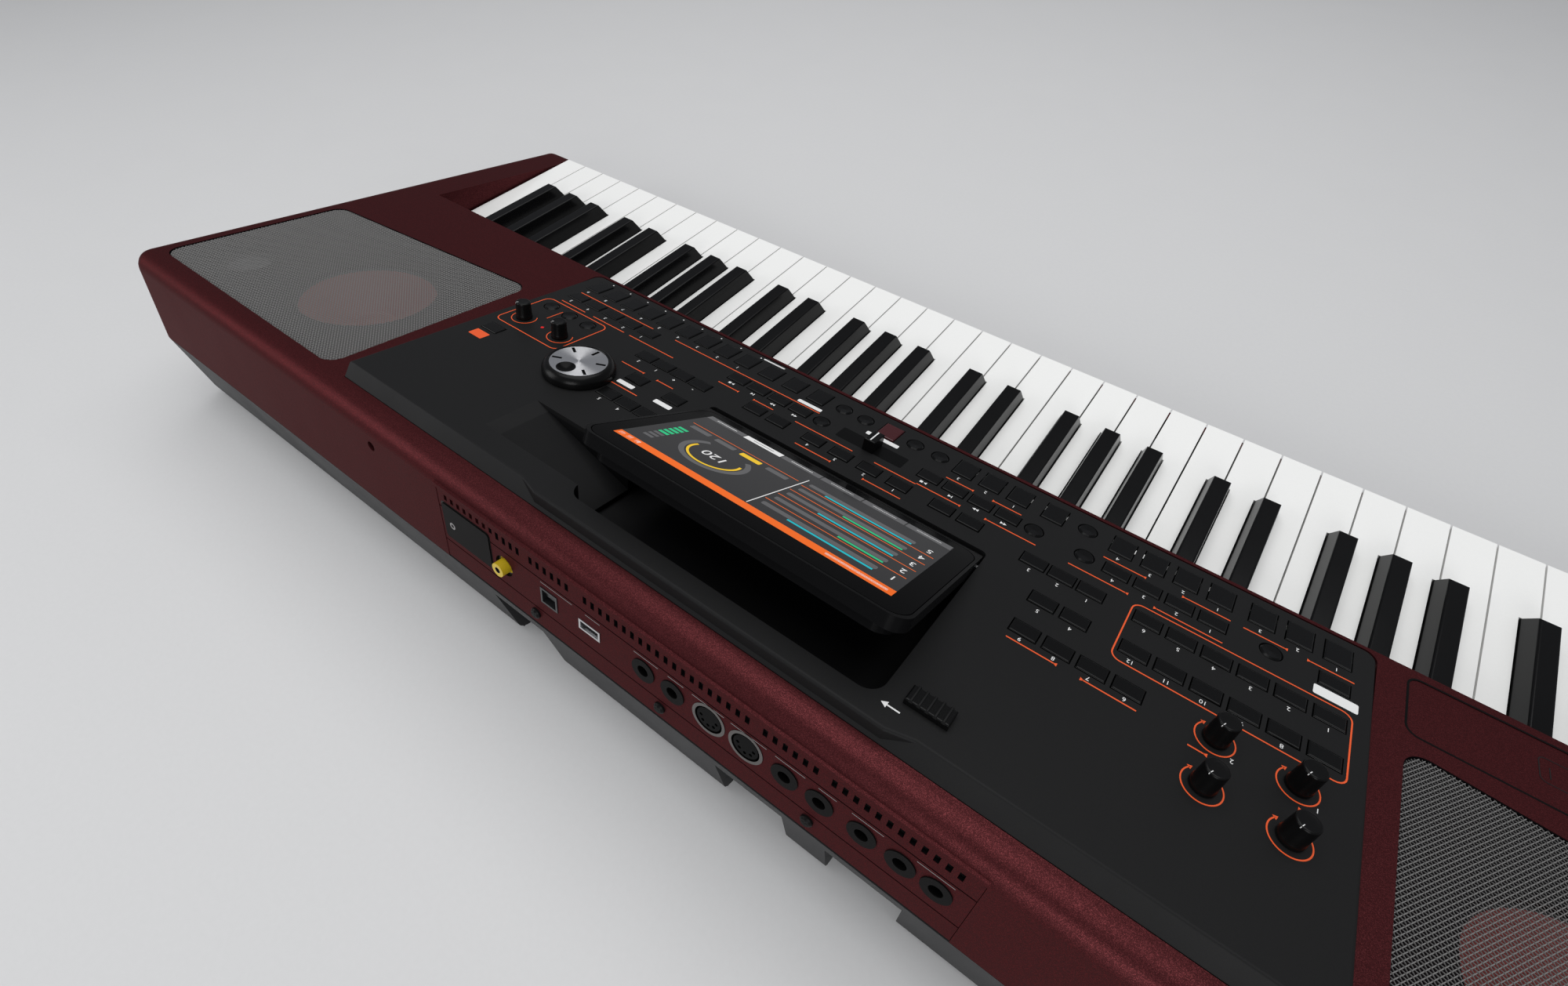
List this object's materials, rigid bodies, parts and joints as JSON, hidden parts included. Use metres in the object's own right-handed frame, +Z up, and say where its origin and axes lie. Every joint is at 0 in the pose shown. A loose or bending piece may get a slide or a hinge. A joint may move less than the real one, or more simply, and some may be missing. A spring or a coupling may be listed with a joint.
{
  "type": "arranger keyboard",
  "caption": "Portable arranger keyboard: wedge-shaped case with piano keys, tilting touch display, button panel, knobs, data dial, speakers behind grilles and rear sockets.",
  "frame": {"origin": "middle of the footprint, on the surface the feet stand on", "axes": "+X along the keys to the player's right, +Y away from the player, +Z up"},
  "size_m": [1.037, 0.3783, 0.1583],
  "materials": {
    "shell_paint": "satin metallic burgundy paint",
    "base_plastic": "fine-grained moulding",
    "panel_plastic": "matt black moulding",
    "button_rubber": "satin",
    "knob_plastic": "satin, with grip flutes",
    "key_white": "gloss",
    "key_black": "gloss top, satin sides",
    "metal_frame": "mill finish",
    "board": "lacquered circuit board",
    "display_case": "gloss",
    "screen_glass": "polished, lit screen behind",
    "steel": "bright",
    "grille_metal": "perforated, grey",
    "speaker_frame": "pressed, with a dark red cone",
    "tray_plastic": "fine-grained moulding",
    "dial_plastic": "silvered, satin top",
    "socket_plastic": "satin",
    "video_plastic": "yellow insert in a bright sleeve",
    "foot_rubber": "matt"
  },
  "bodies": {
    "case": {"top_shell": "shell_paint", "bottom_case": "base_plastic", "control_panel": "panel_plastic", "control_board": "board", "display_tray": "tray_plastic", "display_hinge_pins": "steel", "speaker_grille_left": "grille_metal", "speaker_grille_right": "grille_metal", "woofer_left": "speaker_frame", "woofer_right": "speaker_frame", "tweeter_left": "speaker_frame", "tweeter_right": "speaker_frame", "touch_strip": "shell_paint", "joystick_housing": "socket_plastic", "keybed_frame": "metal_frame", "key_contact_board": "board", "main_board": "board", "power_supply": "metal_frame", "connector_plate": "shell_paint", "jack_sockets": "socket_plastic", "midi_sockets": "socket_plastic", "video_socket": "video_plastic", "usb_sockets": "steel", "storage_hatch": "panel_plastic", "ac_inlet": "socket_plastic", "rubber_feet": "foot_rubber", "case_screws": "steel"},
    "display": {"display_housing": "display_case", "display_glass": "screen_glass"},
    "display_lock": {"display_lock": "knob_plastic"},
    "crossfader_cap": {"crossfader_cap": "knob_plastic"},
    "value_dial": {"value_dial": "dial_plastic"},
    "volume_knob": {"volume_knob": "knob_plastic"},
    "balance_knob": {"balance_knob": "knob_plastic"},
    "assign_knob_1": {"assign_knob_1": "knob_plastic"},
    "assign_knob_2": {"assign_knob_2": "knob_plastic"},
    "mic_effect_knob": {"mic_effect_knob": "knob_plastic"},
    "mic_volume_knob": {"mic_volume_knob": "knob_plastic"},
    "round_buttons": {"round_buttons": "button_rubber"},
    "sound_buttons": {"sound_buttons": "button_rubber"},
    "ensemble_buttons": {"ensemble_buttons": "button_rubber"},
    "edit_buttons": {"edit_buttons": "button_rubber"},
    "player_buttons": {"player_buttons": "button_rubber"},
    "keyboard_set_buttons": {"keyboard_set_buttons": "button_rubber"},
    "start_button": {"start_button": "button_rubber"},
    "arranger_buttons": {"arranger_buttons": "button_rubber"},
    "style_buttons": {"style_buttons": "button_rubber"},
    "mode_buttons": {"mode_buttons": "button_rubber"},
    "white_keys_octave_1": {"white_keys_octave_1": "key_white"},
    "black_keys_octave_1": {"black_keys_octave_1": "key_black"},
    "white_keys_octave_2": {"white_keys_octave_2": "key_white"},
    "black_keys_octave_2": {"black_keys_octave_2": "key_black"},
    "white_keys_octave_3": {"white_keys_octave_3": "key_white"},
    "black_keys_octave_3": {"black_keys_octave_3": "key_black"},
    "white_keys_octave_4": {"white_keys_octave_4": "key_white"},
    "black_keys_octave_4": {"black_keys_octave_4": "key_black"},
    "white_keys_octave_5": {"white_keys_octave_5": "key_white"},
    "black_keys_octave_5": {"black_keys_octave_5": "key_black"},
    "joystick_gimbal": {"joystick_gimbal": "knob_plastic"},
    "joystick_lever": {"joystick_lever": "knob_plastic"}
  },
  "joints": [
    {"name": "display_tilt", "type": "hinge", "parent": "case", "child": "display", "pos_m": [0.021, 0.04402, 0.09519], "axis": [1, 0, 0], "range_deg": [-19.5, 0]},
    {"name": "display_lock_slide", "type": "slide", "parent": "case", "child": "display_lock", "axis": [1, 0, 0], "range_m": [0, 0.006]},
    {"name": "crossfader_cap_slide", "type": "slide", "parent": "case", "child": "crossfader_cap", "axis": [1, 0, 0], "range_m": [-0.018, 0.018]},
    {"name": "value_dial_turn", "type": "hinge", "parent": "case", "child": "value_dial", "pos_m": [0.191, 0.06656, 0.10626], "axis": [0, -0.2334, 0.9724], "continuous": true},
    {"name": "volume_knob_turn", "type": "hinge", "parent": "case", "child": "volume_knob", "pos_m": [-0.2201, 0.09631, 0.11341], "axis": [0, -0.2334, 0.9724], "range_deg": [-140, 140]},
    {"name": "balance_knob_turn", "type": "hinge", "parent": "case", "child": "balance_knob", "pos_m": [-0.188, 0.09631, 0.11341], "axis": [0, -0.2334, 0.9724], "range_deg": [-140, 140]},
    {"name": "assign_knob_1_turn", "type": "hinge", "parent": "case", "child": "assign_knob_1", "pos_m": [-0.2201, 0.07035, 0.10717], "axis": [0, -0.2334, 0.9724], "range_deg": [-140, 140]},
    {"name": "assign_knob_2_turn", "type": "hinge", "parent": "case", "child": "assign_knob_2", "pos_m": [-0.188, 0.07035, 0.10717], "axis": [0, -0.2334, 0.9724], "range_deg": [-140, 140]},
    {"name": "mic_effect_knob_turn", "type": "hinge", "parent": "case", "child": "mic_effect_knob", "pos_m": [0.2649, 0.0474, 0.10166], "axis": [0, -0.2334, 0.9724], "range_deg": [-140, 140]},
    {"name": "mic_volume_knob_turn", "type": "hinge", "parent": "case", "child": "mic_volume_knob", "pos_m": [0.2309, 0.0474, 0.10166], "axis": [0, -0.2334, 0.9724], "range_deg": [-140, 140]},
    {"name": "round_buttons_press", "type": "slide", "parent": "case", "child": "round_buttons", "axis": [0, 0.2334, -0.9724], "range_m": [0, 0.0012], "stiffness_N_per_m": 600, "springref_m": -0.002},
    {"name": "sound_buttons_press", "type": "slide", "parent": "case", "child": "sound_buttons", "axis": [0, 0.2334, -0.9724], "range_m": [0, 0.0012], "stiffness_N_per_m": 600, "springref_m": -0.002},
    {"name": "ensemble_buttons_press", "type": "slide", "parent": "case", "child": "ensemble_buttons", "axis": [0, 0.2334, -0.9724], "range_m": [0, 0.0012], "stiffness_N_per_m": 600, "springref_m": -0.002},
    {"name": "edit_buttons_press", "type": "slide", "parent": "case", "child": "edit_buttons", "axis": [0, 0.2334, -0.9724], "range_m": [0, 0.0012], "stiffness_N_per_m": 600, "springref_m": -0.002},
    {"name": "player_buttons_press", "type": "slide", "parent": "case", "child": "player_buttons", "axis": [0, 0.2334, -0.9724], "range_m": [0, 0.0012], "stiffness_N_per_m": 600, "springref_m": -0.002},
    {"name": "keyboard_set_buttons_press", "type": "slide", "parent": "case", "child": "keyboard_set_buttons", "axis": [0, 0.2334, -0.9724], "range_m": [0, 0.0012], "stiffness_N_per_m": 600, "springref_m": -0.002},
    {"name": "start_button_press", "type": "slide", "parent": "case", "child": "start_button", "axis": [0, 0.2334, -0.9724], "range_m": [0, 0.0012], "stiffness_N_per_m": 600, "springref_m": -0.002},
    {"name": "arranger_buttons_press", "type": "slide", "parent": "case", "child": "arranger_buttons", "axis": [0, 0.2334, -0.9724], "range_m": [0, 0.0012], "stiffness_N_per_m": 600, "springref_m": -0.002},
    {"name": "style_buttons_press", "type": "slide", "parent": "case", "child": "style_buttons", "axis": [0, 0.2334, -0.9724], "range_m": [0, 0.0012], "stiffness_N_per_m": 600, "springref_m": -0.002},
    {"name": "mode_buttons_press", "type": "slide", "parent": "case", "child": "mode_buttons", "axis": [0, 0.2334, -0.9724], "range_m": [0, 0.0012], "stiffness_N_per_m": 600, "springref_m": -0.002},
    {"name": "white_keys_octave_1_press", "type": "hinge", "parent": "case", "child": "white_keys_octave_1", "pos_m": [0.0555, 0.018, 0.041], "axis": [1, 0, 0], "range_deg": [0, 2.9], "stiffness_Nm_per_rad": 4, "springref_deg": -11.46},
    {"name": "black_keys_octave_1_press", "type": "hinge", "parent": "case", "child": "black_keys_octave_1", "pos_m": [0.0555, 0.034, 0.051], "axis": [1, 0, 0], "range_deg": [0, 2.8], "stiffness_Nm_per_rad": 2, "springref_deg": -11.46},
    {"name": "white_keys_octave_2_press", "type": "hinge", "parent": "case", "child": "white_keys_octave_2", "pos_m": [0.0555, 0.018, 0.041], "axis": [1, 0, 0], "range_deg": [0, 2.9], "stiffness_Nm_per_rad": 4, "springref_deg": -11.46},
    {"name": "black_keys_octave_2_press", "type": "hinge", "parent": "case", "child": "black_keys_octave_2", "pos_m": [0.0555, 0.034, 0.051], "axis": [1, 0, 0], "range_deg": [0, 2.8], "stiffness_Nm_per_rad": 2, "springref_deg": -11.46},
    {"name": "white_keys_octave_3_press", "type": "hinge", "parent": "case", "child": "white_keys_octave_3", "pos_m": [0.0555, 0.018, 0.041], "axis": [1, 0, 0], "range_deg": [0, 2.9], "stiffness_Nm_per_rad": 4, "springref_deg": -11.46},
    {"name": "black_keys_octave_3_press", "type": "hinge", "parent": "case", "child": "black_keys_octave_3", "pos_m": [0.0555, 0.034, 0.051], "axis": [1, 0, 0], "range_deg": [0, 2.8], "stiffness_Nm_per_rad": 2, "springref_deg": -11.46},
    {"name": "white_keys_octave_4_press", "type": "hinge", "parent": "case", "child": "white_keys_octave_4", "pos_m": [0.0555, 0.018, 0.041], "axis": [1, 0, 0], "range_deg": [0, 2.9], "stiffness_Nm_per_rad": 4, "springref_deg": -11.46},
    {"name": "black_keys_octave_4_press", "type": "hinge", "parent": "case", "child": "black_keys_octave_4", "pos_m": [0.0555, 0.034, 0.051], "axis": [1, 0, 0], "range_deg": [0, 2.8], "stiffness_Nm_per_rad": 2, "springref_deg": -11.46},
    {"name": "white_keys_octave_5_press", "type": "hinge", "parent": "case", "child": "white_keys_octave_5", "pos_m": [0.0555, 0.018, 0.041], "axis": [1, 0, 0], "range_deg": [0, 2.9], "stiffness_Nm_per_rad": 4, "springref_deg": -11.46},
    {"name": "black_keys_octave_5_press", "type": "hinge", "parent": "case", "child": "black_keys_octave_5", "pos_m": [0.0555, 0.034, 0.051], "axis": [1, 0, 0], "range_deg": [0, 2.8], "stiffness_Nm_per_rad": 2, "springref_deg": -11.46},
    {"name": "joystick_gimbal_tip", "type": "hinge", "parent": "case", "child": "joystick_gimbal", "pos_m": [-0.443, -0.08591, 0.0606], "axis": [1, 0, 0], "range_deg": [-15, 15], "stiffness_Nm_per_rad": 0.1},
    {"name": "joystick_lever_tip", "type": "hinge", "parent": "joystick_gimbal", "child": "joystick_lever", "pos_m": [-0.443, -0.08591, 0.0606], "axis": [0, 0.9813, 0.1925], "range_deg": [-15, 15], "stiffness_Nm_per_rad": 0.1}
  ]
}
